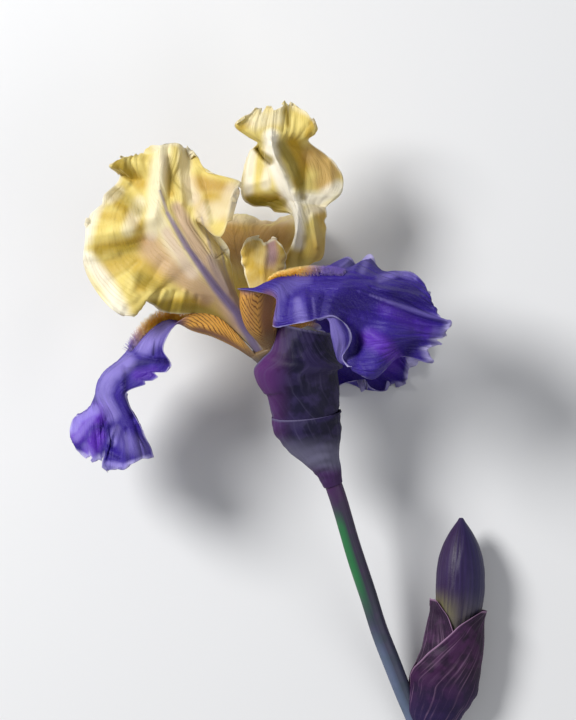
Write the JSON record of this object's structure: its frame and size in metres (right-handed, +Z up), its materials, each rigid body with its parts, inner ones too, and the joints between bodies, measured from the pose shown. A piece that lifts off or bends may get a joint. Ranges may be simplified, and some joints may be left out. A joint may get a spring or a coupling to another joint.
{
  "type": "cut iris flower",
  "caption": "Bearded iris on a cut stem: pale gold upright petals, violet hanging petals with orange beards, papery bracts and a side bud, lying flat.",
  "frame": {"origin": "middle of the footprint, on the surface the flower lies on", "axes": "+Z up from the surface, +Y from the cut end of the stem towards the tops of the upright petals, +X to the side that the bud is on"},
  "size_m": [0.173, 0.2801, 0.0989],
  "materials": {
    "standard_petal": "satin petal, cream rims, golden folds, purple midrib",
    "fall_petal": "velvety violet petal, gold haft with brown veins",
    "beard_hair": "soft orange hairs with pale violet tips",
    "style_petal": "satin pale gold with a purple flush",
    "stamen": "matt cream",
    "tube_skin": "satin grey olive fading to violet grey",
    "bract_skin": "papery grey violet with magenta margins",
    "stem_skin": "green with a waxy blue-grey bloom and a violet shadow side",
    "bud_skin": "satin dark violet, yellow-green at its foot",
    "bud_bract_skin": "papery purple with pale pink margins"
  },
  "bodies": {
    "root": {"standard_left": "standard_petal", "standard_right": "standard_petal", "standard_back": "standard_petal", "fall_left": "fall_petal", "fall_right": "fall_petal", "fall_back": "fall_petal", "beard_left": "beard_hair", "beard_right": "beard_hair", "beard_back": "beard_hair", "style": "style_petal", "stamen_left": "stamen", "stamen_right": "stamen", "stamen_back": "stamen", "ovary_tube": "tube_skin", "bract_outer": "bract_skin", "bract_inner": "bract_skin", "stem": "stem_skin", "bud": "bud_skin", "bud_bract_outer": "bud_bract_skin", "bud_bract_inner": "bud_bract_skin"}
  },
  "joints": []
}
